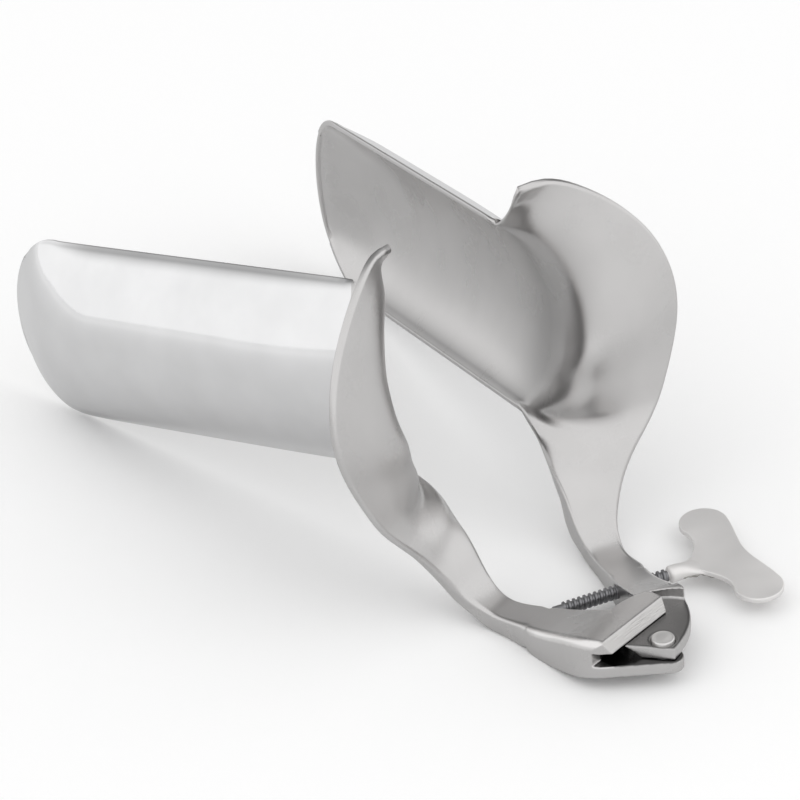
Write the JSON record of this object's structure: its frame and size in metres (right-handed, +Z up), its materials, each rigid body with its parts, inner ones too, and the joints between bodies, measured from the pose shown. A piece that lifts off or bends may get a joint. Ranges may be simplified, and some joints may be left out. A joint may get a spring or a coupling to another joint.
{
  "type": "anal speculum",
  "caption": "Two hinged half-shell blades with flared flanges and cranked arms, spread by a thumb screw tapped through one arm; polished and satin steel, shown open on a table.",
  "frame": {"origin": "centre of the footprint at table height, in the half-open pose of the picture", "axes": "+X from the blade tips to the hinge, +Y towards the half that carries the screw, +Z up along the hinge pin"},
  "size_m": [0.1532, 0.0788, 0.0679],
  "materials": {
    "half_steel": "mirror polish outside the blades, satin elsewhere",
    "pin_steel": "satin, lightly domed head",
    "screw_steel": "turned and polished",
    "wing_steel": "fine satin"
  },
  "bodies": {
    "fork_body": {"fork_half": "half_steel", "hinge_pin": "pin_steel"},
    "tongue_body": {"tongue_half": "half_steel"},
    "tip_body": {"screw_tip": "screw_steel"},
    "screw_body": {"screw_spindle": "screw_steel", "wing_plate": "wing_steel"}
  },
  "joints": [
    {"name": "blade_spread", "type": "hinge", "parent": "fork_body", "child": "tongue_body", "pos_m": [0.07277, 0, 0], "axis": [0, 0, 1], "range_deg": [-4, 25.3]},
    {"name": "screw_travel", "type": "slide", "parent": "tongue_body", "child": "tip_body", "axis": [0.219, 0.9757, 0], "range_m": [-0.0017, 0.0106]},
    {"name": "screw_turn", "type": "hinge", "parent": "tip_body", "child": "screw_body", "pos_m": [0.05228, 0.0046, 0.0034], "axis": [0.219, 0.9757, 0], "range_deg": [-600, 3800]}
  ],
  "couplings": [
    {"joint": "screw_travel", "follows": "blade_spread", "m_per_rad": 0.0237},
    {"joint": "screw_turn", "follows": "blade_spread", "ratio": 148.91}
  ]
}
